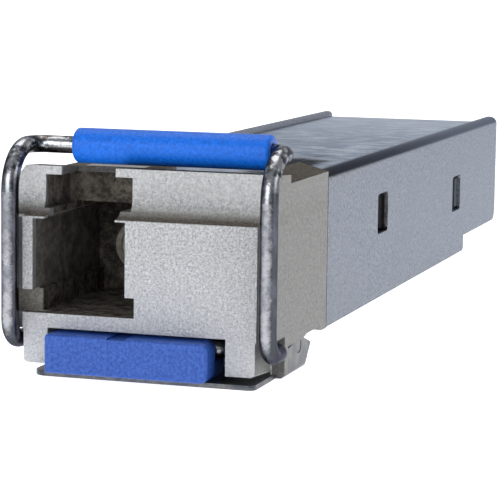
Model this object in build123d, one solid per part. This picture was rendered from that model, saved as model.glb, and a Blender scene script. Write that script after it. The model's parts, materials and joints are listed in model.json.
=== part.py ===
from build123d import *
import os

# Optical transceiver module, small form-factor pluggable, with one LC port.
# Drawn with the nose's front face at Y = 0, the body's underside at Z = 0 and the
# module centred on X = 0: X is the width, Y runs from the front to the rear. Every piece
# is moved by DATUM when it is written, so that the written origin is the middle of the
# bounding box at its bottom. Millimetres.

# Body envelope
LENGTH = 56.5
COVER_HALF = 6.7
COVER_TOP = 8.5
SHEET = 0.35
SEAM_Y = 10.3
SEAM_GAP = 0.1
PANEL_DROP = 0.39
COVER_FIT = 0.03
EDGE_OPEN_Y = 45.9
EDGE_OPEN_Z = 1.02

# Side windows of the cover: (Y, Z) of their middles, half length, reach below and above
WINDOWS = ((23.2, 5.0), (43.3, 4.2))
WINDOW_HALF = 1.2
WINDOW_BELOW = 1.2
WINDOW_ABOVE = 1.15

# Nose
NOSE_HALF = 6.95
FACE_HALF = 6.25
NOSE_TOP = 9.14
NOSE_TOP_BACK = 8.98
WALL_BACK = 3.3
SIDE_TOP = 8.55
SHOULDER_X = 5.3
CORNER_BEVEL = 0.45
PAD_RIGHT = 0.2
PAD_LENGTH = 1.8
DECK_TOP = 7.8
DECK_HALF = 5.75
SIDE_BOTTOM = 0.25
COVE_Z = 6.65
COVE_DEPTH = 1.05
COVE_RADIUS = 1.0

# Optical port
PORT_X = -3.2
PORT_Z = 4.2
PORT_HALF = 2.5
PORT_BACK = 9.3
SLOT_TOP = 8.7
SLOT_BACK = 4.3
FERRULE_RADIUS = 0.626
BARREL_RADIUS = 1.4
BARREL_FRONT = 8.9
BARREL_END = 14.2
BARREL_BORE = 0.86
SLEEVE_FRONT = 9.4
SLEEVE_END = 13.2
FLANGE_FRONT = 10.6
OPTICS_FRONT = 11.3
OPTICS_END = 20.8
OPTICS_HALF = 2.7
CAN_Y = 16.8
LASER_END = 22.0
LEAD_RADIUS = 0.2
FLEX_Y = 22.6
FLEX_END = 27.6

# Circuit board
BOARD_BOTTOM = 2.25
BOARD_THICK = 1.0
BOARD_END = 53.3
BOARD_FRONT = 24.0
EDGE_HALF = 4.6
HOST_OPENING_Y = 46.1
FLOOR = 0.8
CONTACTS = 10
CONTACT_PITCH = 0.8
CONTACT_WIDTH = 0.54
CONTACT_Y = (48.6, 52.8)
CONTACT_THICK = 0.04

# Bail
WIRE = 0.45
LEG_X = 6.86
LEG_Y = -0.4
BAR_Y = 2.7
BAR_Z = 10.1
BAIL_SHIFT = 0.1
BAIL_Y = 1.9
BAIL_Z = 0.2
CRANK = 0.4
SLEEVE_RADIUS = 0.905
SLEEVE_LEFT = -4.35
SLEEVE_RIGHT = 6.17
SLEEVE_PLAY = 0.04

# Latch lever
LEVER_Y = 6.0
LEVER_Z = -0.15
LEVER_BOTTOM = -1.45
LEVER_SHEET = 0.25
PLATE_LEFT = -5.6
PLATE_RIGHT = 6.28
PIN_RADIUS = 0.35
LATCH_SHOULDER = 11.5
BOSS_DEPTH = 0.45
CHANNEL_HALF = 3.2
CHANNEL_TOP = 1.15
BLOCK_LEFT = -4.72
BLOCK_RIGHT = 3.98
BLOCK_FRONT = -0.85
BLOCK_TOP = 0.8
SHELF_TOP = -0.42

# Feet and the recess between them
RECESS_LEFT = -4.87
RECESS_RIGHT = 4.65
RECESS_TOP = 0.98
FOOT_HALF = 6.22
FOOT_BACK = 3.2

FRONT = LEG_Y - WIRE
DATUM = Pos(-BAIL_SHIFT, -(FRONT + LENGTH) / 2, -LEVER_BOTTOM)


def block(x, y, z):
    """Box from three (low, high) pairs."""
    size = [high - low for low, high in (x, y, z)]
    middle = [(high + low) / 2 for low, high in (x, y, z)]
    return Pos(*middle) * Box(*size)


def rod_x(y, z, radius, x0, x1):
    return Pos((x0 + x1) / 2, y, z) * Rot(0, 90, 0) * Cylinder(radius, x1 - x0)


def rod_y(x, z, radius, y0, y1):
    return Pos(x, (y0 + y1) / 2, z) * Rot(90, 0, 0) * Cylinder(radius, y1 - y0)


def along_x(points, x0, x1):
    """Extrudes a (Y, Z) outline from x0 to x1."""
    face = make_face(Polyline(*[(x0, y, z) for y, z in points], close=True))
    return extrude(face, amount=x1 - x0, dir=(1, 0, 0))


def round_edges(solid, axis, points, radius):
    """Fillets the edges along an axis that lie nearest to the given points."""
    edges = solid.edges().filter_by(axis)
    chosen = [edges.sort_by_distance(point)[0] for point in points]
    return fillet(chosen, radius)


def cove_cutter():
    """Scoop across the top of the front face, with a concave root."""
    cutter = block((-8, 8), (-1, COVE_DEPTH), (COVE_Z, 12))
    return round_edges(cutter, Axis.X, [(0, COVE_DEPTH, COVE_Z)], COVE_RADIUS)


def both_sides(near, far, y, z):
    """Two boxes that mirror each other, from near to far of the middle."""
    return [block((near, far), y, z), block((-far, -near), y, z)]


def shoulder_cutter(side, inner, top, y0, y1):
    """Wedge that slopes the nose's top from inner down to SIDE_TOP at its side."""
    outside = NOSE_HALF + 1
    outline = [(inner, top), (NOSE_HALF, SIDE_TOP), (outside, SIDE_TOP), (outside, top + 1), (inner, top + 1)]
    face = make_face(Polyline(*[(side * x, y0, z) for x, z in outline], close=True))
    return extrude(face, amount=y1 - y0, dir=(0, 1, 0))


def nose():
    """Front block of the casting, outside the cage: wall, deck with raised shoulders, and feet."""
    body = along_x([
        (0, RECESS_TOP - 0.4), (FOOT_BACK, SIDE_BOTTOM), (5.9, SIDE_BOTTOM), (6.6, 0.4),
        (9.2, 0.4), (9.4, 0.12), (SEAM_Y, 0.12), (SEAM_Y, NOSE_TOP_BACK),
        (WALL_BACK, NOSE_TOP_BACK), (COVE_DEPTH, NOSE_TOP), (0, NOSE_TOP),
    ], -NOSE_HALF, NOSE_HALF)
    body -= block((-SHOULDER_X, SHOULDER_X), (WALL_BACK, SEAM_Y + 1), (DECK_TOP, 12))
    pad_y = (WALL_BACK - 0.1, WALL_BACK + PAD_LENGTH)
    body += block((-SHOULDER_X - 0.1, PAD_RIGHT), pad_y, (DECK_TOP - 0.2, NOSE_TOP_BACK))
    for side in (-1, 1):
        body -= shoulder_cutter(side, SHOULDER_X, NOSE_TOP_BACK, WALL_BACK, SEAM_Y + 1)
    body -= shoulder_cutter(-1, NOSE_HALF - CORNER_BEVEL, NOSE_TOP, -1, WALL_BACK)
    feet = along_x([(0, -0.87), (FOOT_BACK, -1.12), (FOOT_BACK, 1.6), (0, 1.6)], -FOOT_HALF, FOOT_HALF)
    corners = [(side * FOOT_HALF, 1.6, -1.0) for side in (-1, 1)]
    body += fillet([feet.edges().sort_by_distance(corner)[0] for corner in corners], 0.3)
    for cheek in both_sides(FOOT_HALF, NOSE_HALF, (2.6, FOOT_BACK), (-1.12, 1.6)):
        body += cheek
    for cut in (
        both_sides(FACE_HALF, 9, (-1, 0.35), (-3, 12))
        + both_sides(LEG_X - WIRE - BAIL_SHIFT - 0.12, 9, (-1, 2.6), (-3, 0.85))
    ):
        body -= cut
    body -= cove_cutter()
    body -= block((RECESS_LEFT, RECESS_RIGHT), (-1, FOOT_BACK), (-3, RECESS_TOP))
    return body


def pivot_ribs():
    """Lower block that carries the lever's pivot pin."""
    rib = along_x([
        (FOOT_BACK, -1.0), (LEVER_Y, -1.0), (7.4, -0.75), (8.2, 0.3), (8.2, 0.9),
        (FOOT_BACK, 0.9),
    ], -5.6, 5.6)
    return rib - block((-CHANNEL_HALF, CHANNEL_HALF), (6.9, 9), (-2, 0.3))


def port_cutters():
    """Stepped outline of the LC port: plug channel, latch slot and corner reliefs."""
    left = PORT_X - PORT_HALF
    right = PORT_X + PORT_HALF
    return [
        block((left, right), (-1, PORT_BACK), (2.85, 6.55)),
        block((left + 0.24, right), (-1, PORT_BACK), (1.72, 2.9)),
        block((-6.7, left + 0.3), (-1, 0.8), (1.72, 2.9)),
        block((right - 0.1, right + 0.5), (-1, 1.5), (1.72, 2.75)),
        block((PORT_X - 1.85, PORT_X + 1.95), (-1, PORT_BACK), (6.45, 7.05)),
        block((left + 0.3, right), (-1, SLOT_BACK), (7.0, SLOT_TOP)),
        block((PORT_X - 1.35, PORT_X + 1.59), (-1, WALL_BACK), (SLOT_TOP - 0.1, 12)),
    ]


def tray():
    """Floor, rails and lugs of the casting behind the nose, inside the cover."""
    inner = COVER_HALF - SHEET - COVER_FIT
    body = block((-inner, inner), (SEAM_Y - 0.3, HOST_OPENING_Y), (0.02, FLOOR))
    body += block((-4.4, 4.4), (SEAM_Y - 0.3, 14.4), (0.02, 1.45))
    body += block((PORT_X - OPTICS_HALF, PORT_X + OPTICS_HALF), (14.3, OPTICS_END), (FLOOR - 0.1, 1.45))
    for rail in both_sides(5.3, inner, (22, HOST_OPENING_Y), (FLOOR - 0.1, BOARD_BOTTOM)):
        body += rail
    return body


def lug_towers():
    """Upright lugs that snap into the cover's side windows, clear of the board."""
    inner = COVER_HALF - SHEET - COVER_FIT
    towers = []
    for y, z in WINDOWS:
        towers += both_sides(6.0, inner, (y + 0.3, y + 1.6), (FLOOR, z + 1.0))
        towers += both_sides(6.2, COVER_HALF - 0.2, (y + 0.3, y + 1.05), (z - 1.0, z + 0.9))
    return towers


def housing_base():
    """Die-cast base: nose, feet and tray in one casting."""
    body = nose() + pivot_ribs() + tray()
    for tower in lug_towers():
        body += tower
    for cut in port_cutters():
        body -= cut
    body -= rod_y(PORT_X, PORT_Z, BARREL_RADIUS + 0.05, PORT_BACK - 1, SEAM_Y + 0.1)
    body -= block((-CHANNEL_HALF, CHANNEL_HALF), (8.0, 14.1), (-2, CHANNEL_TOP))
    body -= rod_x(LEVER_Y, LEVER_Z, PIN_RADIUS + 0.01, -7, 7)
    body -= rod_x(BAIL_Y, BAIL_Z, WIRE + 0.05, -8, 8)
    return body


def rear_cover():
    """Folded sheet cover: an inverted U with a pressed-down top panel and rolled rims."""
    inner = COVER_HALF - SHEET
    panel_top = COVER_TOP - PANEL_DROP
    shell = block((-COVER_HALF, COVER_HALF), (SEAM_Y + SEAM_GAP, LENGTH), (0, COVER_TOP))
    top_corners = [(side * COVER_HALF, LENGTH / 2, COVER_TOP) for side in (-1, 1)]
    shell = round_edges(shell, Axis.Y, top_corners, 0.5)
    shell -= block((-DECK_HALF, DECK_HALF), (0, 60), (panel_top, 12))
    rim_corners = [(side * DECK_HALF, LENGTH / 2, COVER_TOP) for side in (-1, 1)]
    shell = round_edges(shell, Axis.Y, rim_corners, 0.3)
    shell -= block((-inner, inner), (0, 60), (-1, panel_top - SHEET))
    for groove in both_sides(6.05, inner, (0, 60), (7, COVER_TOP - SHEET)):
        shell -= groove
    for y, z in WINDOWS:
        for cutter in both_sides(6.0, 9, (y - WINDOW_HALF, y + WINDOW_HALF), (z - WINDOW_BELOW, z + WINDOW_ABOVE)):
            shell -= fillet(cutter.edges().filter_by(Axis.X), 0.25)
    shell -= block((-8, 8), (EDGE_OPEN_Y, 60), (-1, EDGE_OPEN_Z))
    corner = [(side * COVER_HALF, LENGTH, EDGE_OPEN_Z) for side in (-1, 1)]
    shell = round_edges(shell, Axis.X, corner, 0.8)
    notch = [(side * COVER_HALF, EDGE_OPEN_Y, 0) for side in (-1, 1)]
    return round_edges(shell, Axis.X, notch, 0.3)


def bail_path():
    """Centre line of the bail wire, from one crank tip round the bar to the other."""
    right = [
        (3.2, BAIL_Y - CRANK, BAIL_Z), (3.75, BAIL_Y - CRANK, BAIL_Z),
        (4.2, BAIL_Y, BAIL_Z), (LEG_X, BAIL_Y, BAIL_Z), (LEG_X, LEG_Y, BAIL_Z),
        (LEG_X, LEG_Y, BAR_Z), (LEG_X, BAR_Y, BAR_Z),
    ]
    left = [(-x, y, z) for x, y, z in reversed(right)]
    half = [0.5, 0.5, 0.55, 1.2, 2.2, 0.8]
    return FilletPolyline(*right, *left, radius=half + half[::-1])


def bail_wire():
    path = bail_path()
    return Pos(BAIL_SHIFT, 0, 0) * sweep(Plane(path @ 0, z_dir=path % 0) * Circle(WIRE), path=path)


def bail_sleeve():
    """Moulded grip on the bar, free to slide sideways."""
    outer = rod_x(BAR_Y, BAR_Z, SLEEVE_RADIUS, SLEEVE_LEFT, SLEEVE_RIGHT)
    ends = outer.edges().filter_by(GeomType.CIRCLE)
    return fillet(ends, 0.18) - rod_x(BAR_Y, BAR_Z, WIRE + SLEEVE_PLAY, -7, 7)


def latch_lever():
    """Folded sheet lever: front plate, pivot flanges and a tongue with the latch boss."""
    top = LEVER_BOTTOM + LEVER_SHEET
    plate = block((PLATE_LEFT, PLATE_RIGHT), (-0.35, 3.4), (LEVER_BOTTOM, top))
    plate = round_edges(plate, Axis.Z, [(PLATE_LEFT, -0.35, top)], 0.8)
    plate = round_edges(plate, Axis.Z, [(PLATE_RIGHT, -0.35, top)], 0.4)
    plate += block((-6.7, 6.7), (3.3, 7.1), (LEVER_BOTTOM, top))
    for x0, x1 in ((-6.7, -6.42), (6.42, 6.7)):
        plate += along_x([
            (3.3, LEVER_BOTTOM), (7.1, LEVER_BOTTOM), (8.2, -0.3), (6.9, 0.12),
            (5.2, 0.12), (3.3, -0.1),
        ], x0, x1)
    plate = round_edges(plate, Axis.Y, [(-6.7, 5, LEVER_BOTTOM), (6.7, 5, LEVER_BOTTOM)], 0.2)
    tongue = along_x([
        (6.9, LEVER_BOTTOM), (7.9, LEVER_BOTTOM), (9.2, 0.05), (LATCH_SHOULDER, 0.05),
        (LATCH_SHOULDER, -BOSS_DEPTH), (12.1, -BOSS_DEPTH), (13.5, 0.05), (13.7, 0.05),
        (13.7, 0.3), (9.1, 0.3), (7.8, top), (6.9, top),
    ], -1.3, 1.3)
    for x0, x1 in ((-2.9, -1.2), (1.2, 2.9)):
        tongue += along_x([
            (6.9, LEVER_BOTTOM), (7.9, LEVER_BOTTOM), (9.2, 0.05), (13.7, 0.05),
            (13.7, 0.3), (9.1, 0.3), (7.8, top), (6.9, top),
        ], x0, x1)
    return plate + tongue - rod_x(LEVER_Y, LEVER_Z, PIN_RADIUS + 0.05, -8, 8)


def latch_pivot_pin():
    return rod_x(LEVER_Y, LEVER_Z, PIN_RADIUS, -6.68, 6.68)


def release_block():
    """Moulded block on the lever's front, with a shelf at each end for the bail's cranks."""
    body = block((BLOCK_LEFT, BLOCK_RIGHT), (BLOCK_FRONT, 2.8), (LEVER_BOTTOM + LEVER_SHEET, BLOCK_TOP))
    right = [(BLOCK_RIGHT, 1, BLOCK_TOP), (BLOCK_RIGHT, 1, LEVER_BOTTOM + LEVER_SHEET)]
    body = round_edges(body, Axis.Y, right, 0.42)
    body = round_edges(body, Axis.Y, [(BLOCK_LEFT, 1, BLOCK_TOP)], 0.2)
    front = body.faces().sort_by(Axis.Y)[0]
    body = fillet(front.edges(), 0.16)
    body -= block((-1.35, -0.35), (-1, 2.9), (BLOCK_TOP - 0.11, 1))
    for x in ((2.9, 5), (-5, -2.9)):
        body -= block(x, (0.95, 2.9), (SHELF_TOP, 1.2))
    return body - block((3.62, 5), (0.45, 2.9), (-3, 1.2))


def latch_spring():
    """Leaf that keeps the lever's tongue from rattling."""
    return along_x([
        (9.3, CHANNEL_TOP), (9.3, 1.03), (10.0, 1.03), (12.3, 0.31), (13.0, 0.5),
        (13.0, 0.63), (12.3, 0.45), (10.05, CHANNEL_TOP),
    ], -0.8, 0.8)


def receptacle_barrel():
    """Metal barrel that guides the plug's ferrule, with its mounting flange."""
    body = rod_y(PORT_X, PORT_Z, BARREL_RADIUS, BARREL_FRONT, BARREL_END)
    body += rod_y(PORT_X, PORT_Z, 2.2, FLANGE_FRONT, OPTICS_FRONT)
    body -= rod_y(PORT_X, PORT_Z, BARREL_BORE, SLEEVE_FRONT - 0.05, BARREL_END + 1)
    body -= rod_y(PORT_X, PORT_Z, 0.8, BARREL_FRONT - 1, SLEEVE_FRONT)
    return body - rod_y(PORT_X, PORT_Z, 1.12, BARREL_FRONT - 1, BARREL_FRONT + 0.25)


def split_sleeve():
    """Slotted ceramic tube that lines the plug's ferrule up with the stub."""
    body = rod_y(PORT_X, PORT_Z, BARREL_BORE - 0.01, SLEEVE_FRONT, SLEEVE_END)
    body -= rod_y(PORT_X, PORT_Z, FERRULE_RADIUS, SLEEVE_FRONT - 1, SLEEVE_END + 1)
    slit = (PORT_X - 0.15, PORT_X + 0.15)
    return body - block(slit, (SLEEVE_FRONT - 1, SLEEVE_END + 1), (PORT_Z, PORT_Z + 2))


def fibre_stub():
    return rod_y(PORT_X, PORT_Z, BARREL_BORE - 0.01, SLEEVE_END + 0.05, BARREL_END + 0.8)


def emi_gasket():
    ring = rod_y(PORT_X, PORT_Z, 2.2, SEAM_Y, FLANGE_FRONT)
    return ring - rod_y(PORT_X, PORT_Z, BARREL_RADIUS + 0.02, SEAM_Y - 1, FLANGE_FRONT + 1)


def optics_body():
    """Block that joins the fibre, the laser and the receiver on two crossed axes."""
    x = (PORT_X - OPTICS_HALF, PORT_X + OPTICS_HALF)
    body = block(x, (OPTICS_FRONT, OPTICS_END), (PORT_Z - 2.75, PORT_Z + 2.75))
    body = fillet(body.edges().filter_by(Axis.Y), 0.5)
    body -= rod_y(PORT_X, PORT_Z, BARREL_RADIUS + 0.05, OPTICS_FRONT - 1, BARREL_END + 0.05)
    body -= rod_y(PORT_X, PORT_Z, BARREL_BORE, BARREL_END, CAN_Y)
    body -= block((PORT_X - 1, PORT_X + 1), (CAN_Y - 1.5, CAN_Y + 1.8), (PORT_Z - 1, PORT_Z + 1))
    body -= rod_y(PORT_X, PORT_Z, 2.1, CAN_Y + 1.7, OPTICS_END + 1)
    return body - rod_x(CAN_Y, PORT_Z, 1.5, PORT_X + 0.9, PORT_X + 4)


def wavelength_filter():
    return Pos(PORT_X, CAN_Y, PORT_Z) * Rot(0, 0, 45) * Box(1.3, 0.25, 1.98)


def laser_can():
    """Stepped can: the stem inside the optics body, the header behind it."""
    header = rod_y(PORT_X, PORT_Z, 2.7, OPTICS_END, LASER_END)
    return header + rod_y(PORT_X, PORT_Z, 2.0, CAN_Y + 1.9, OPTICS_END + 0.1)


def receiver_can():
    """Stepped can set into the optics body's side, with its light window."""
    x = PORT_X + OPTICS_HALF
    body = rod_x(CAN_Y, PORT_Z, 2.3, x, x + 1.0) + rod_x(CAN_Y, PORT_Z, 1.4, x - 1.3, x + 0.1)
    return body - rod_x(CAN_Y, PORT_Z, 0.4, x - 2, x - 1)


def lead_places():
    """Offsets of the four leads round a can's axis."""
    return [(a, b) for a in (-0.65, 0.65) for b in (-0.6, 0.6)]


def laser_leads():
    y = (LASER_END, FLEX_Y + 0.8)
    pins = [rod_y(PORT_X + a, PORT_Z + b, LEAD_RADIUS, *y) for a, b in lead_places()]
    return Compound(children=pins)


def receiver_leads():
    x = PORT_X + OPTICS_HALF + 1.0
    pins = [rod_x(CAN_Y + a, PORT_Z + b, LEAD_RADIUS, x, x + 1.5) for a, b in lead_places()]
    return Compound(children=pins)


def laser_flex():
    """Flexible circuit from the laser's leads down to the board."""
    low = BOARD_BOTTOM + BOARD_THICK
    x = (PORT_X - 2, PORT_X + 2)
    body = block(x, (FLEX_Y, FLEX_Y + 0.15), (low, 6.4))
    body += block(x, (FLEX_Y, FLEX_END), (low, low + 0.12))
    for a, b in lead_places():
        body -= rod_y(PORT_X + a, PORT_Z + b, LEAD_RADIUS + 0.01, FLEX_Y - 1, FLEX_Y + 1)
    return body


def receiver_flex():
    """Flexible circuit from the receiver's leads back to the board."""
    x = PORT_X + OPTICS_HALF + 1.9
    low = BOARD_BOTTOM + BOARD_THICK
    body = block((x, x + 0.15), (CAN_Y - 1.8, CAN_Y + 1.8), (low, 6.2))
    body += block((x, x + 3.4), (CAN_Y - 1.2, FLEX_END), (low, low + 0.12))
    for a, b in lead_places():
        body -= rod_x(CAN_Y + a, PORT_Z + b, LEAD_RADIUS + 0.01, x - 1, x + 1)
    return body


def optics_pad():
    """Foam between the optics body and the cover."""
    top = COVER_TOP - PANEL_DROP - SHEET
    return block((PORT_X - 2.2, PORT_X + 2.2), (OPTICS_FRONT + 0.8, OPTICS_END - 0.8), (PORT_Z + 2.75, top))


def main_board():
    """Circuit board, narrowed at the rear to the host's edge connector."""
    z = (BOARD_BOTTOM, BOARD_BOTTOM + BOARD_THICK)
    body = block((-5.95, 5.95), (BOARD_FRONT, 45.5), z)
    body += block((-EDGE_HALF, EDGE_HALF), (45, BOARD_END), z)
    tip = [(0, BOARD_END, z[0]), (0, BOARD_END, z[1])]
    edges = body.edges().filter_by(Axis.X)
    return chamfer([edges.sort_by_distance(point)[0] for point in tip], 0.3)


def host_contacts():
    """Gold fingers on both faces of the board's edge, ten a side at 0.8 mm pitch."""
    pads = []
    for index in range(CONTACTS):
        x = (index - (CONTACTS - 1) / 2) * CONTACT_PITCH
        for z in (BOARD_BOTTOM - CONTACT_THICK, BOARD_BOTTOM + BOARD_THICK):
            across = (x - CONTACT_WIDTH / 2, x + CONTACT_WIDTH / 2)
            pads.append(block(across, CONTACT_Y, (z, z + CONTACT_THICK)))
    return Compound(children=pads)


def chip(x, y, width, length, height, below=False):
    """Moulded chip package on the board's top or underside."""
    top = BOARD_BOTTOM + BOARD_THICK
    z = (BOARD_BOTTOM - height, BOARD_BOTTOM) if below else (top, top + height)
    body = block((x - width / 2, x + width / 2), (y - length / 2, y + length / 2), z)
    dot = (z[0] - 0.1, z[0] + 0.06) if below else (z[1] - 0.06, z[1] + 0.1)
    mark = Pos(x - width / 2 + 0.6, y - length / 2 + 0.6, sum(dot) / 2) * Cylinder(0.2, dot[1] - dot[0])
    return body - mark


def small_parts(places, width, length, height):
    return Compound(children=[chip_blank(x, y, width, length, height) for x, y in places])


def chip_blank(x, y, width, length, height):
    low = BOARD_BOTTOM + BOARD_THICK
    return block((x - width / 2, x + width / 2), (y - length / 2, y + length / 2), (low, low + height))


def thermal_pad():
    return block((-2.2, 2.2), (30.4, 34.6), (FLOOR, BOARD_BOTTOM - 0.85))


NODES = {
    "housing_base": housing_base,
    "rear_cover": rear_cover,
    "bail_wire": bail_wire,
    "bail_sleeve": bail_sleeve,
    "latch_lever": latch_lever,
    "latch_pivot_pin": latch_pivot_pin,
    "release_block": release_block,
    "latch_spring": latch_spring,
    "receptacle_barrel": receptacle_barrel,
    "split_sleeve": split_sleeve,
    "fibre_stub": fibre_stub,
    "emi_gasket": emi_gasket,
    "optics_body": optics_body,
    "wavelength_filter": wavelength_filter,
    "laser_can": laser_can,
    "laser_leads": laser_leads,
    "laser_flex": laser_flex,
    "receiver_can": receiver_can,
    "receiver_leads": receiver_leads,
    "receiver_flex": receiver_flex,
    "optics_pad": optics_pad,
    "main_board": main_board,
    "host_contacts": host_contacts,
    "laser_driver_chip": lambda: chip(0, 32.5, 5, 5, 0.85, below=True),
    "controller_chip": lambda: chip(-2.2, 33.5, 4, 4, 0.8),
    "receiver_amplifier_chip": lambda: chip(3.2, 32.5, 3, 3, 0.8),
    "memory_chip": lambda: chip(3.0, 38.5, 3, 4.4, 1.1),
    "chip_capacitors": lambda: small_parts(
        [(x, y) for y in (29.6, 41.8) for x in (-4.2, -2.1, 0, 2.1)], 0.5, 1.0, 0.5
    ),
    "chip_resistors": lambda: small_parts(
        [(x, 43.8) for x in (-4.0, -2.8, -1.6, -0.4, 0.8, 2.0)], 0.5, 1.0, 0.35
    ),
    "power_inductors": lambda: small_parts([(-4.0, 38.2), (-1.2, 38.2)], 2.0, 2.5, 1.0),
    "thermal_pad": thermal_pad,
}

os.makedirs("parts", exist_ok=True)
for name, make in NODES.items():
    export_step(DATUM * make(), f"parts/{name}.step")
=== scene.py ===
import json
import math

import bpy
from mathutils import Matrix, Vector


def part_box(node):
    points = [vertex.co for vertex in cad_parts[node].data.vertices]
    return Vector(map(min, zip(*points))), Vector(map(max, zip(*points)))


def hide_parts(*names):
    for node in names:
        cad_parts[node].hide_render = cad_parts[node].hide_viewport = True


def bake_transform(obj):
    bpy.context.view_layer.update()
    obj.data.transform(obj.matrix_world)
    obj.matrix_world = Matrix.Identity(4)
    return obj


MM = 0.001
WHITE = (1.0, 1.0, 1.0)

# Camera, fitted to the module's own features: place from the middle of the nose's underside
CAMERA_FROM_FACE = Vector((38.41, -102.51, 19.70))
CAMERA_YAW = 17.61
CAMERA_PITCH = -7.51
CAMERA_ROLL = -0.75
CAMERA_LENS = 159.1

# The floor's glow in millimetres: the distance from which it rises and how far it takes to rise,
# and the height at which the backdrop's glow has sunk to its least
FLOOR_GLOW_FROM = -85
GLOW_RISE = 30
GLOW_HEIGHT = 60

# Painted shade on the surfaces of the optical port, as boxes in millimetres from the middle of the
# nose's underside at its front face: the port itself, the latch slot above it, and the notch over that
PORT_BOX = ((-5.8, 0.38, 1.5), (-0.2, 12.0, 6.7))
SLOT_BOX = ((-5.6, 1.16, 6.6), (-0.4, 12.0, 8.72))
NOTCH_BOX = ((-5.4, 1.25, 8.6), (-1.2, 4.7, 10.0))

# Surfaces beside the port with painted light, in the same way: the relief in its lower left corner, and the
# front of the raised pad behind the notch, which has a painted highlight
RELIEF_BOX = ((-6.8, 0.5, 1.6), (-5.2, 0.95, 2.95))
PAD_FACE = ((-4.3, 3.6, 8.70), (-1.0, 4.6, 10.0))

# Other places in millimetres from the same point
EDGE_OF_FACE = 6.28  # half the width of the face between the bail's legs
TOP_OF_FACE = 6.6  # ledge over the face, where the cove starts
SEAM_Y = 10.2  # joint between nose and cover
PANEL_Z = 8.11  # pressed-down top panel of the cover
NIB_FROM = 6.2  # from here out, the casting shows only in the cover's slots
BEND_FROM = 8.3  # height at which the bail's upper bends start
PANEL_SHADOW_SPOT = (2.4, 18.0, 2.7, 8.0)  # painted shadow on the panel: its middle X and Y, its radii in X and Y

# Soft edge of a mask that ends at a corner of the shape, in millimetres
CORNER_EDGE = 0.02

# Shares of the leaf spring's length at which its root and its tip are marked
LEAF_ROOT = 0.25
LEAF_TIP = 0.75

# Small bevels: rounding of each node in millimetres, and the bend above which an edge is sharp
EDGE_ROUNDING = {"housing_base": 0.07, "rear_cover": 0.04, "latch_lever": 0.05, "release_block": 0.05}
BEVEL_SEGMENTS = 2
SHARP_ANGLE = 35
WELD_DISTANCE = 0.002

# Floor and backdrop in metres: half its width, its front end, the start, radius and top of its curve
FLOOR_HALF_WIDTH = 2.0
FLOOR_FRONT = -1.2
CURVE_START = 1.8
CURVE_RADIUS = 0.5
BACKDROP_TOP = 1.8
CURVE_STEP = 6

WORLD_COLOUR = (0.80, 0.84, 0.90, 1)
WORLD_STRENGTH = 0.4

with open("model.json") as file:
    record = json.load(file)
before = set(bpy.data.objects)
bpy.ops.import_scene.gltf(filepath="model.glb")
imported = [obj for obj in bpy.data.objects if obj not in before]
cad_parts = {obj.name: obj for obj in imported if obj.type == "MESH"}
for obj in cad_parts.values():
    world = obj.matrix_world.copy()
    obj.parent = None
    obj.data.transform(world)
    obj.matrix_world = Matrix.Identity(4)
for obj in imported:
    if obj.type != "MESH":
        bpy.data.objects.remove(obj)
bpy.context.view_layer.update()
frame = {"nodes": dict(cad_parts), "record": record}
nodes = frame["nodes"]


def nose_point():
    """Middle of the nose's underside at its front face, which the places above start from."""
    face_low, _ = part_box("housing_base")
    cover_low, cover_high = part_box("rear_cover")
    return Vector(((cover_low.x + cover_high.x) / 2, face_low.y, cover_low.z))


NOSE = nose_point()


# ---------------------------------------------------------------- shader helpers

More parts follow.
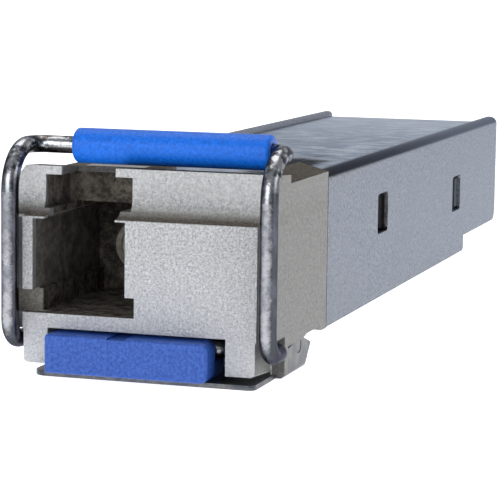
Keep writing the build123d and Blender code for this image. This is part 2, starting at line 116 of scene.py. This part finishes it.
class Paint:
    """A node material being built, with short calls for the nodes that it needs."""

    def __init__(self, name, roughness=0.5, metallic=0.0):
        self.material = bpy.data.materials.new(name)
        self.material.use_nodes = True
        self.tree = self.material.node_tree
        self.surface = self.tree.nodes["Principled BSDF"]
        self.surface.inputs["Roughness"].default_value = roughness
        self.surface.inputs["Metallic"].default_value = metallic
        coordinates = self.tree.nodes.new("ShaderNodeTexCoord")
        self.place = self.scaled(coordinates.outputs["Object"], (1000, 1000, 1000), NOSE * -1000)
        self.normal_out = coordinates.outputs["Normal"]

    def link(self, source, target):
        self.tree.links.new(source, target)

    def scaled(self, source, scale, shift=(0, 0, 0)):
        node = self.tree.nodes.new("ShaderNodeMapping")
        node.inputs["Scale"].default_value = scale
        node.inputs["Location"].default_value = shift
        self.link(source, node.inputs["Vector"])
        return node.outputs["Vector"]

    def noise(self, per_mm, detail=2.0, stretch=(1, 1, 1), rough=0.5):
        """Noise with about per_mm features in a millimetre."""
        node = self.tree.nodes.new("ShaderNodeTexNoise")
        node.inputs["Scale"].default_value = per_mm
        node.inputs["Detail"].default_value = detail
        node.inputs["Roughness"].default_value = rough
        self.link(self.scaled(self.place, stretch), node.inputs["Vector"])
        return node.outputs["Fac"]

    def band(self, source, low, high, out_low=0.0, out_high=1.0):
        """Maps a value from low..high to out_low..out_high, clamped."""
        node = self.tree.nodes.new("ShaderNodeMapRange")
        keys = ("From Min", "From Max", "To Min", "To Max")
        for key, value in zip(keys, (low, high, out_low, out_high)):
            node.inputs[key].default_value = value
        self.link(source, node.inputs["Value"])
        return node.outputs["Result"]

    def maths(self, operation, a, b=None):
        """One of Blender's maths operations, on sockets or numbers."""
        node = self.tree.nodes.new("ShaderNodeMath")
        node.operation = operation
        for socket, value in zip(node.inputs, (a, b)):
            if value is None:
                continue
            if isinstance(value, (int, float)):
                socket.default_value = value
            else:
                self.link(value, socket)
        return node.outputs["Value"]

    def product(self, *factors):
        """All the factors multiplied, from first to last."""
        value = factors[0]
        for factor in factors[1:]:
            value = self.maths("MULTIPLY", value, factor)
        return value

    def axis(self, name, vector=None):
        """X, Y or Z of a vector, or of the place in object millimetres."""
        node = self.tree.nodes.new("ShaderNodeSeparateXYZ")
        self.link(self.place if vector is None else vector, node.inputs["Vector"])
        return node.outputs[name]

    def inside(self, low, high, edge=0.12):
        """1 inside a box of object millimetres, 0 outside, with a soft edge."""
        value = None
        for name, start, end in zip("XYZ", low, high):
            here = self.axis(name)
            step = self.product(self.band(here, start, start + edge), self.band(here, end, end - edge))
            value = step if value is None else self.product(value, step)
        return value

    def spot(self, x, y, x_radius, y_radius):
        """1 at a spot of the object, seen from above, falling to 0 at its outline."""
        across = self.maths("DIVIDE", self.maths("SUBTRACT", self.axis("X"), x), x_radius)
        along = self.maths("DIVIDE", self.maths("SUBTRACT", self.axis("Y"), y), y_radius)
        squares = self.maths("ADD", self.product(across, across), self.product(along, along))
        return self.band(self.maths("SQRT", squares), 0.3, 1.0, 1.0, 0.0)

    def mix(self, factor, first, second):
        """Colour mix: first where factor is 0, second where it is 1."""
        node = self.tree.nodes.new("ShaderNodeMix")
        node.data_type = "RGBA"
        factor_socket, first_socket, second_socket = (node.inputs[i] for i in (0, 6, 7))
        pairs = ((factor_socket, factor), (first_socket, first), (second_socket, second))
        for socket, value in pairs:
            if isinstance(value, tuple):
                socket.default_value = (*value, 1.0)
            elif isinstance(value, (int, float)):
                socket.default_value = value
            else:
                self.link(value, socket)
        return node.outputs[2]

    def colour(self, value):
        self.link(value, self.surface.inputs["Base Color"])

    def roughness(self, value):
        self.link(value, self.surface.inputs["Roughness"])

    def two_tone(self, source, low, high, first, second):
        """Colour that turns from first to second as the source goes from low to high."""
        return self.mix(self.band(source, low, high), first, second)

    def bump(self, height, depth_mm, strength=1.0):
        """Surface normal for a relief of depth_mm."""
        node = self.tree.nodes.new("ShaderNodeBump")
        node.inputs["Distance"].default_value = depth_mm * MM
        node.inputs["Strength"].default_value = strength
        self.link(height, node.inputs["Height"])
        return node.outputs["Normal"]

    def metallic(self, value):
        self.link(value, self.surface.inputs["Metallic"])

    def normal(self, value):
        self.link(value, self.surface.inputs["Normal"])


# ---------------------------------------------------------------- materials

def cast_front(paint, grain, sparkle):
    """Colour of the face and the cove over it: bright grain, a few pits, painted highlight over the cove,
    painted shade low in the cove, painted floor light low on the face.
    """
    height = paint.axis("Z")
    blotch = paint.noise(0.5, detail=3)
    pits = paint.band(paint.noise(4, detail=3, rough=0.6), 0.64, 0.70)
    tone = paint.two_tone(grain, 0.44, 0.56, (0.47, 0.48, 0.50), WHITE)
    tone = paint.mix(paint.product(sparkle, 0.8), tone, WHITE)
    tone = paint.mix(paint.band(blotch, 0.35, 0.7, 0.0, 0.15), tone, (0.60, 0.58, 0.55))
    # Painted highlight: the upper part of the cove is painted nearly white
    cove_highlight = paint.band(height, TOP_OF_FACE + 0.3, TOP_OF_FACE + 1.4, 0.0, 0.9)
    tone = paint.mix(cove_highlight, tone, WHITE)
    # Painted light from the floor: the face is painted lighter towards the bottom
    painted_floor_light = paint.band(height, 0.0, 5.5, 0.42, 0.0)
    tone = paint.mix(painted_floor_light, tone, (0.97, 0.985, 1.0))
    tone = paint.mix(paint.product(pits, 0.35), tone, (0.16, 0.155, 0.15))
    # Painted shade at the root of the cove, broken up by the grain
    above_face = paint.band(height, TOP_OF_FACE, TOP_OF_FACE + 0.3)
    cove_root_shade = paint.product(above_face, paint.band(grain, 0.42, 0.56, 0.32, 0.0))
    tone = paint.mix(cove_root_shade, tone, (0.30, 0.295, 0.285))
    # Painted shade: the lower part of the cove is painted a darker olive grey
    cove_start = paint.band(height, TOP_OF_FACE, TOP_OF_FACE + 0.05)
    cove = paint.product(cove_start, paint.band(height, TOP_OF_FACE + 0.4, TOP_OF_FACE + 0.9, 0.6, 0.0))
    return paint.mix(cove, tone, (0.47, 0.46, 0.41))


def cast_sides(paint, tone, grain):
    """Painted shade on the sides, a painted shadow line at the seam behind them, and painted shade on the
    casting in the cover's slots.
    """
    across, along = paint.axis("X"), paint.axis("Y")
    # Painted shade: faces turned sideways are painted darker than the front
    side_shade_tone = paint.two_tone(grain, 0.40, 0.60, (0.225, 0.222, 0.215), (0.43, 0.427, 0.42))
    # Painted shadow line: a thin near-black strip where the nose meets the cover
    seam_shadow_line = paint.band(along, SEAM_Y - CORNER_EDGE, SEAM_Y + CORNER_EDGE)
    side_shade_tone = paint.mix(seam_shadow_line, side_shade_tone, (0.012, 0.013, 0.016))
    sideways = paint.band(paint.maths("ABSOLUTE", paint.axis("X", paint.normal_out)), 0.7, 0.9)
    tone = paint.mix(paint.product(sideways, 0.92), tone, side_shade_tone)
    # Painted shade on the casting seen through the cover's slots: darkest at the front slot, lighter
    # towards the rear
    outermost = paint.band(across, NIB_FROM, NIB_FROM + CORNER_EDGE)
    shaded_nibs = paint.product(paint.band(along, SEAM_Y, SEAM_Y + 0.1), outermost)
    nib_shade_tone = paint.two_tone(along, 28, 40, (0.006, 0.007, 0.012), (0.12, 0.15, 0.19))
    return paint.mix(shaded_nibs, tone, nib_shade_tone)


def cast_recesses(paint, tone, grain, upward):
    """Painted shade on strips behind the bail's legs, on upward faces and in the notch; painted highlight
    on the pad's front.
    """
    from_middle = paint.maths("ABSOLUTE", paint.axis("X"))
    beyond_face = paint.band(from_middle, EDGE_OF_FACE - CORNER_EDGE, EDGE_OF_FACE + CORNER_EDGE)
    below_cove = paint.band(paint.axis("Z"), TOP_OF_FACE - 0.1, TOP_OF_FACE, 1.0, 0.0)
    forward = paint.band(paint.axis("Y", paint.normal_out), -0.9, -0.6, 1.0, 0.0)
    # Painted shade on the strips beside the face, behind the bail's legs
    leg_shade = paint.product(beyond_face, below_cove, forward)
    tone = paint.mix(paint.product(leg_shade, 0.85), tone, (0.11, 0.105, 0.10))
    # Painted shade: faces turned upward are painted a dark warm tone
    upward_shade_tone = paint.two_tone(grain, 0.4, 0.6, (0.075, 0.065, 0.053), (0.24, 0.21, 0.18))
    tone = paint.mix(upward, tone, upward_shade_tone)
    # Painted shade in the notch over the latch slot
    notch_shade_tone = paint.two_tone(grain, 0.4, 0.6, (0.13, 0.12, 0.10), (0.34, 0.32, 0.28))
    tone = paint.mix(paint.product(paint.inside(*NOTCH_BOX), 0.9), tone, notch_shade_tone)
    # Painted highlight on the front of the raised pad behind the notch
    pad_highlight_tone = paint.two_tone(grain, 0.4, 0.6, (0.40, 0.38, 0.33), (0.95, 0.92, 0.85))
    return paint.mix(paint.inside(*PAD_FACE, 0.04), tone, pad_highlight_tone)


def cast_metal():
    """Nickel-plated die casting: granular, with painted highlights in front and painted shade at the sides
    and in the port.
    """
    paint = Paint("cast_metal", metallic=1.0)
    paint.surface.inputs["Specular IOR Level"].default_value = 0.0
    paint.surface.inputs["Specular Tint"].default_value = (0.50, 0.49, 0.47, 1)
    grain = paint.noise(7, detail=6, rough=0.9)
    sparkle = paint.band(paint.noise(9, detail=2, rough=0.6), 0.54, 0.64)
    upward = paint.band(paint.axis("Z", paint.normal_out), 0.5, 0.9)
    tone = cast_front(paint, grain, sparkle)
    tone = cast_sides(paint, tone, grain)
    tone = cast_recesses(paint, tone, grain, upward)
    # Painted light on the relief in the port's lower left corner, which the port's painted shade leaves out
    relief = paint.inside(*RELIEF_BOX, 0.05)
    tone = paint.mix(relief, tone, paint.two_tone(grain, 0.4, 0.6, (0.30, 0.285, 0.25), (0.60, 0.58, 0.52)))
    # Painted shade: the port, the latch slot and the notch are painted near black with a warm mottle
    port = paint.maths("MAXIMUM", paint.inside(*PORT_BOX), paint.inside(*SLOT_BOX))
    port = paint.product(port, paint.maths("SUBTRACT", 1.0, relief))
    port_shade_noise = paint.noise(1.2, detail=5, rough=0.8)
    port_shade_tone = paint.two_tone(port_shade_noise, 0.42, 0.66, (0.065, 0.057, 0.048), (0.27, 0.24, 0.20))
    paint.colour(paint.mix(port, tone, port_shade_tone))
    # Where port shade and upward shade are painted, the casting is made dull and not metallic
    paint.metallic(paint.maths("SUBTRACT", 1.0, paint.maths("MAXIMUM", port, upward)))
    paint.roughness(paint.band(grain, 0.3, 0.7, 0.36, 0.58))
    paint.normal(paint.bump(paint.maths("ADD", grain, paint.product(sparkle, 0.4)), 0.10))
    return paint.material


def cover_outside(paint, mottle):
    """Colour of the cover's sides, and a painted dark reflection on its rolled rims, which lightens towards
    the rear.
    """
    cloud = paint.noise(0.25, detail=3)
    tone = paint.two_tone(mottle, 0.40, 0.60, (0.145, 0.149, 0.155), (0.43, 0.432, 0.445))
    tone = paint.mix(paint.band(cloud, 0.4, 0.7, 0.0, 0.35), tone, (0.27, 0.27, 0.28))
    outward = paint.product(paint.axis("X", paint.normal_out), paint.maths("SIGN", paint.axis("X")))
    rising = paint.band(paint.axis("Z", paint.normal_out), 0.12, 0.35)
    rolled = paint.product(rising, paint.band(outward, -0.3, 0.1))
    # Painted dark reflection on the rolled rims, lighter towards the rear
    rim_shade_tone = paint.two_tone(mottle, 0.3, 0.7, (0.014, 0.012, 0.012), (0.050, 0.045, 0.045))
    painted_lightening_to_rear = paint.band(paint.axis("Y"), 26, 50, 0.0, 0.9)
    rim_shade_tone = paint.mix(painted_lightening_to_rear, rim_shade_tone, (0.10, 0.115, 0.14))
    return paint.mix(rolled, tone, rim_shade_tone)


def cover_panel(paint, scratches, clouds):
    """Colour of the pressed-down top panel: streaks and clouds, with a painted reflection that lightens it
    towards the rear.
    """
    tone = paint.two_tone(scratches, 0.44, 0.60, (0.21, 0.245, 0.30), (0.66, 0.68, 0.70))
    tone = paint.mix(paint.band(clouds, 0.42, 0.62, 0.0, 0.45), tone, (0.25, 0.29, 0.35))
    # Painted reflection: the panel is painted lighter towards the rear
    painted_lightening_to_rear = paint.band(paint.axis("Y"), 34, 56, 0.0, 0.6)
    return paint.mix(painted_lightening_to_rear, tone, (0.72, 0.75, 0.79))


def cover_sheet():
    """Satin nickel-plated sheet: streaky on its pressed-down top, with a painted dark reflection on its
    rims and a painted shadow on its top.
    """
    paint = Paint("cover_sheet", metallic=1.0)
    paint.surface.inputs["Specular IOR Level"].default_value = 0.0
    paint.surface.inputs["Specular Tint"].default_value = (0.60, 0.65, 0.75, 1)
    scratches = paint.noise(1.0, detail=7, stretch=(0.45, 1.0, 1), rough=0.8)
    clouds = paint.noise(0.42, detail=5, stretch=(0.6, 1, 1), rough=0.65)
    mottle = paint.noise(6, detail=5, rough=0.85)
    facing_up = paint.band(paint.axis("Z", paint.normal_out), 0.8, 0.95)
    below_rims = paint.band(paint.axis("Z"), PANEL_Z + 0.03, PANEL_Z + 0.1, 1.0, 0.0)
    panel = paint.product(facing_up, below_rims)
    tone = paint.mix(panel, cover_outside(paint, mottle), cover_panel(paint, scratches, clouds))
    # Painted shadow: a dark, ragged, non-metallic spot on the front right of the panel
    fine_wobble = paint.band(scratches, 0.35, 0.65, -0.3, 0.3)
    wobble = paint.maths("ADD", fine_wobble, paint.band(clouds, 0.35, 0.65, -0.3, 0.3))
    panel_shadow = paint.band(paint.maths("ADD", paint.spot(*PANEL_SHADOW_SPOT), wobble), 0.25, 0.75)
    panel_shadow = paint.product(panel_shadow, paint.product(panel, 0.92))
    paint.colour(paint.mix(panel_shadow, tone, (0.018, 0.018, 0.021)))
    paint.metallic(paint.maths("SUBTRACT", 1.0, panel_shadow))
    paint.roughness(paint.band(mottle, 0.3, 0.7, 0.30, 0.44))
    paint.normal(paint.bump(paint.mix(panel, mottle, paint.product(scratches, 3.5)), 0.012, 0.8))
    return paint.material


def wire_steel():
    """Drawn steel wire: painted highlight along its front and back, painted shade on its flanks, rusty
    bends with painted highlight spots.
    """
    paint = Paint("wire_steel", metallic=1.0)
    paint.surface.inputs["Specular Tint"].default_value = (0.45, 0.46, 0.5, 1)
    drawn = paint.noise(2.2, detail=5, rough=0.7)
    patches = paint.noise(0.6, detail=4, rough=0.6)
    rust = paint.band(paint.noise(1.3, detail=5, rough=0.7), 0.56, 0.66)
    bend_highlight = paint.band(paint.noise(1.6, detail=3, rough=0.6), 0.46, 0.56)
    bend = paint.band(paint.axis("Z"), BEND_FROM, BEND_FROM + 1.0)
    # Painted highlight along the wire's front and back, painted shade on its flanks
    facing = paint.maths("ABSOLUTE", paint.axis("Y", paint.normal_out))
    facing = paint.maths("ADD", facing, paint.band(drawn, 0.3, 0.7, -0.12, 0.12))
    tone = paint.two_tone(facing, 0.78, 1.0, (0.07, 0.073, 0.085), (0.38, 0.39, 0.41))
    tone = paint.mix(paint.band(patches, 0.48, 0.60, 0.0, 0.55), tone, (0.13, 0.135, 0.16))
    # Painted highlight spots on the upper bends
    tone = paint.mix(paint.product(bend_highlight, paint.product(bend, 0.6)), tone, (0.70, 0.70, 0.70))
    tone = paint.mix(paint.product(rust, paint.product(bend, 0.8)), tone, (0.10, 0.065, 0.040))
    paint.colour(tone)
    paint.roughness(paint.band(drawn, 0.3, 0.7, 0.14, 0.26))
    paint.normal(paint.bump(drawn, 0.04, 0.7))
    return paint.material


def lever_sheet():
    """Stamped stainless sheet, slightly blue, with a fine rolled grain."""
    paint = Paint("lever_sheet", metallic=1.0)
    rolled = paint.noise(6, detail=4, stretch=(0.15, 1, 1))
    mottle = paint.noise(1.3, detail=4, rough=0.65)
    tone = paint.two_tone(rolled, 0.3, 0.7, (0.05, 0.056, 0.068), (0.13, 0.14, 0.165))
    paint.colour(paint.mix(paint.band(mottle, 0.42, 0.62, 0.0, 0.7), tone, (0.20, 0.195, 0.18)))
    paint.roughness(paint.band(rolled, 0.3, 0.7, 0.28, 0.42))
    paint.normal(paint.bump(rolled, 0.012, 0.7))
    return paint.material


def blue_plastic(name, dark, light, roughness, grain):
    """Moulded plastic with a spark-eroded grain."""
    paint = Paint(name)
    paint.surface.inputs["Specular IOR Level"].default_value = 0.3
    tone = paint.two_tone(paint.noise(6, detail=4, rough=0.8), 0.38, 0.62, dark, light)
    scuffs = paint.band(paint.noise(1.1, detail=6, rough=0.7), 0.66, 0.74, 0.0, 0.25)
    scuff_tone = tuple(min(1.0, c * 1.3 + 0.04) for c in light)
    paint.colour(paint.mix(scuffs, tone, scuff_tone))
    paint.roughness(paint.band(paint.noise(12, detail=2), 0.3, 0.7, roughness - 0.06, roughness + 0.08))
    paint.normal(paint.bump(paint.noise(11, detail=4, rough=0.6), grain, 0.7))
    return paint.material


def plain_metal(name, low, high, roughness):
    """Evenly finished metal with a faint turned grain."""
    paint = Paint(name, metallic=1.0)
    turned = paint.noise(5, detail=4)
    paint.colour(paint.two_tone(turned, 0.3, 0.7, low, high))
    paint.roughness(paint.band(turned, 0.3, 0.7, roughness - 0.06, roughness + 0.08))
    paint.normal(paint.bump(turned, 0.006, 0.5))
    return paint.material


def plain_solid(name, low, high, roughness, grain=0.01, per_mm=6):
    """Evenly coloured material that isn't metal, slightly mottled, with a grain in millimetres."""
    paint = Paint(name)
    mottle = paint.noise(per_mm, detail=4)
    paint.colour(paint.two_tone(mottle, 0.3, 0.7, low, high))
    paint.roughness(paint.band(mottle, 0.3, 0.7, roughness - 0.06, roughness + 0.06))
    paint.normal(paint.bump(mottle, grain, 0.5))
    return paint.material


def make_materials():
    """All finishes by the name of their material slot."""
    return {
        "cast_metal": cast_metal(),
        "cover_sheet": cover_sheet(),
        "wire_steel": wire_steel(),
        "lever_sheet": lever_sheet(),
        "blue_grip": blue_plastic("blue_grip", (0.0015, 0.112, 0.58), (0.008, 0.185, 0.86), 0.42, 0.02),
        "blue_block": blue_plastic("blue_block", (0.014, 0.06, 0.3), (0.044, 0.125, 0.48), 0.36, 0.012),
        "pin_steel": plain_metal("pin_steel", (0.12, 0.12, 0.125), (0.2, 0.2, 0.21), 0.35),
        "spring_steel": plain_metal("spring_steel", (0.5, 0.5, 0.5), (0.66, 0.66, 0.66), 0.25),
        "barrel_metal": plain_metal("barrel_metal", (0.30, 0.27, 0.23), (0.50, 0.46, 0.40), 0.4),
        "optics_metal": plain_metal("optics_metal", (0.55, 0.54, 0.52), (0.72, 0.71, 0.69), 0.3),
        "can_metal": plain_metal("can_metal", (0.75, 0.58, 0.28), (0.88, 0.70, 0.38), 0.25),
        "gold": plain_metal("gold", (0.85, 0.60, 0.22), (0.95, 0.72, 0.32), 0.22),
        "zirconia": plain_solid("zirconia", (0.82, 0.80, 0.74), (0.90, 0.88, 0.84), 0.2, 0.002),
        "gasket_rubber": plain_solid("gasket_rubber", (0.03, 0.03, 0.03), (0.06, 0.06, 0.06), 0.7),
        "filter_glass": plain_solid("filter_glass", (0.5, 0.6, 0.8), (0.6, 0.7, 0.85), 0.08, 0.001),
        "flex_film": plain_solid("flex_film", (0.52, 0.24, 0.04), (0.66, 0.33, 0.07), 0.35, 0.004),
        "pad_foam": plain_solid("pad_foam", (0.03, 0.03, 0.035), (0.07, 0.07, 0.075), 0.9, 0.05),
        "board_laminate": plain_solid(
            "board_laminate", (0.008, 0.13, 0.04), (0.015, 0.19, 0.07), 0.3, grain=0.004, per_mm=2
        ),
        "chip_epoxy": plain_solid(
            "chip_epoxy", (0.012, 0.012, 0.013), (0.03, 0.03, 0.032), 0.55, grain=0.012, per_mm=10
        ),
        "capacitor_ceramic": plain_solid("capacitor_ceramic", (0.32, 0.20, 0.11), (0.42, 0.28, 0.17), 0.45),
        "resistor_film": plain_solid("resistor_film", (0.015, 0.015, 0.018), (0.03, 0.03, 0.035), 0.4),
        "inductor_ferrite": plain_solid("inductor_ferrite", (0.06, 0.06, 0.065), (0.11, 0.11, 0.115), 0.6),
        "pad_thermal": plain_solid("pad_thermal", (0.35, 0.42, 0.55), (0.45, 0.52, 0.66), 0.7, 0.02),
    }


def dress_nodes(materials):
    """Gives every CAD node the finish of its material slot."""
    for row in frame["record"]["subparts"]:
        node = nodes[row["node"]]
        node.data.materials.clear()
        node.data.materials.append(materials[row["material_slot"]])


def soften_edges(name, width_mm):
    """Rounds a node's sharp edges by a small bevel, as casting, folding and moulding do."""
    node = nodes[name]
    weld = node.modifiers.new("weld", "WELD")
    weld.merge_threshold = WELD_DISTANCE * MM
    bevel = node.modifiers.new("edge_round", "BEVEL")
    bevel.width = width_mm * MM
    bevel.segments = BEVEL_SEGMENTS
    bevel.limit_method = "ANGLE"
    bevel.angle_limit = math.radians(SHARP_ANGLE)
    bevel.harden_normals = False
    bevel.use_clamp_overlap = True


def make_flexing_leaf():
    """A copy of the leaf spring in place of the CAD one; points for its root and tip are worked out but not
    used.
    """
    cad = nodes["latch_spring"]
    leaf = bpy.data.objects.new("latch_leaf", cad.data.copy())
    bpy.context.scene.collection.objects.link(leaf)
    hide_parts("latch_spring")
    low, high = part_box("latch_spring")
    root = low.lerp(high, 0.5)
    tip = root.copy()
    root.y = low.y + LEAF_ROOT * (high.y - low.y)
    tip.y = low.y + LEAF_TIP * (high.y - low.y)
    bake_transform(leaf)


# ---------------------------------------------------------------- studio

def make_floor():
    """Pale floor that curves up into a backdrop behind the module."""
    rows = [(FLOOR_FRONT, 0.0), (CURVE_START, 0.0)]
    for degrees in range(CURVE_STEP, 91, CURVE_STEP):
        angle = math.radians(degrees)
        rise = CURVE_RADIUS - CURVE_RADIUS * math.cos(angle)
        rows.append((CURVE_START + CURVE_RADIUS * math.sin(angle), rise))
    rows.append((CURVE_START + CURVE_RADIUS, BACKDROP_TOP))
    points = [(x, y, z) for y, z in rows for x in (-FLOOR_HALF_WIDTH, FLOOR_HALF_WIDTH)]
    faces = [(2 * i, 2 * i + 1, 2 * i + 3, 2 * i + 2) for i in range(len(rows) - 1)]
    mesh = bpy.data.meshes.new("floor")
    mesh.from_pydata(points, [], faces)
    floor = bpy.data.objects.new("floor", mesh)
    bpy.context.scene.collection.objects.link(floor)
    for face in mesh.polygons:
        face.use_smooth = True
    paint = Paint("studio_floor", roughness=0.9)
    paint.surface.inputs["Specular IOR Level"].default_value = 0.1
    paint.surface.inputs["Base Color"].default_value = (0.70, 0.70, 0.71, 1)
    paint.surface.inputs["Emission Color"].default_value = (1, 1, 1, 1)
    glow = paint.band(paint.axis("Y"), FLOOR_GLOW_FROM, FLOOR_GLOW_FROM + GLOW_RISE, 0.0, 0.9)
    glow = paint.product(glow, paint.band(paint.axis("Z"), 1, GLOW_HEIGHT, 1.0, 0.45))
    paint.link(glow, paint.surface.inputs["Emission Strength"])
    mesh.materials.append(paint.material)


def area_light(name, place_mm, target_mm, size_mm, power, colour=WHITE):
    """A rectangular light at a place, turned to its target."""
    data = bpy.data.lights.new(name, "AREA")
    data.shape = "RECTANGLE"
    data.size = size_mm[0] * MM
    data.size_y = size_mm[1] * MM
    data.energy = power
    data.color = colour
    light = bpy.data.objects.new(name, data)
    bpy.context.scene.collection.objects.link(light)
    light.location = Vector(place_mm) * MM
    direction = (Vector(target_mm) - Vector(place_mm)).normalized()
    light.rotation_euler = direction.to_track_quat("-Z", "Y").to_euler()


def make_lights():
    """Dim even surroundings and three soft boxes."""
    world = bpy.data.worlds.new("studio")
    bpy.context.scene.world = world
    world.use_nodes = True
    background = world.node_tree.nodes["Background"]
    background.inputs["Color"].default_value = WORLD_COLOUR
    background.inputs["Strength"].default_value = WORLD_STRENGTH
    area_light("front_softbox", (-60, -260, 90), (0, -20, 5), (220, 160), 0.295, (0.965, 0.985, 1.0))
    area_light("right_softbox", (260, -40, 80), (0, 0, 5), (160, 160), 0.12, (0.96, 0.975, 1.0))
    area_light("top_softbox", (-40, 60, 300), (0, 0, 0), (260, 260), 0.4)


def make_camera():
    """Camera at the photo's place and angle."""
    data = bpy.data.cameras.new("camera")
    data.sensor_width = 36
    data.lens = CAMERA_LENS
    data.clip_start = 0.005
    data.clip_end = 10
    camera = bpy.data.objects.new("camera", data)
    bpy.context.scene.collection.objects.link(camera)
    turn = Matrix.Rotation(math.radians(CAMERA_YAW), 4, "Z")
    turn = turn @ Matrix.Rotation(math.radians(CAMERA_PITCH), 4, "X")
    turn = turn @ Matrix.Rotation(math.radians(CAMERA_ROLL), 4, "Y")
    turn = turn @ Matrix.Rotation(math.radians(90), 4, "X")
    camera.matrix_world = Matrix.Translation(NOSE + CAMERA_FROM_FACE * MM) @ turn
    bpy.context.scene.camera = camera


dress_nodes(make_materials())
for node_name, width in EDGE_ROUNDING.items():
    soften_edges(node_name, width)
make_flexing_leaf()
make_floor()
make_lights()
make_camera()
bpy.context.scene.view_settings.view_transform = "Standard"
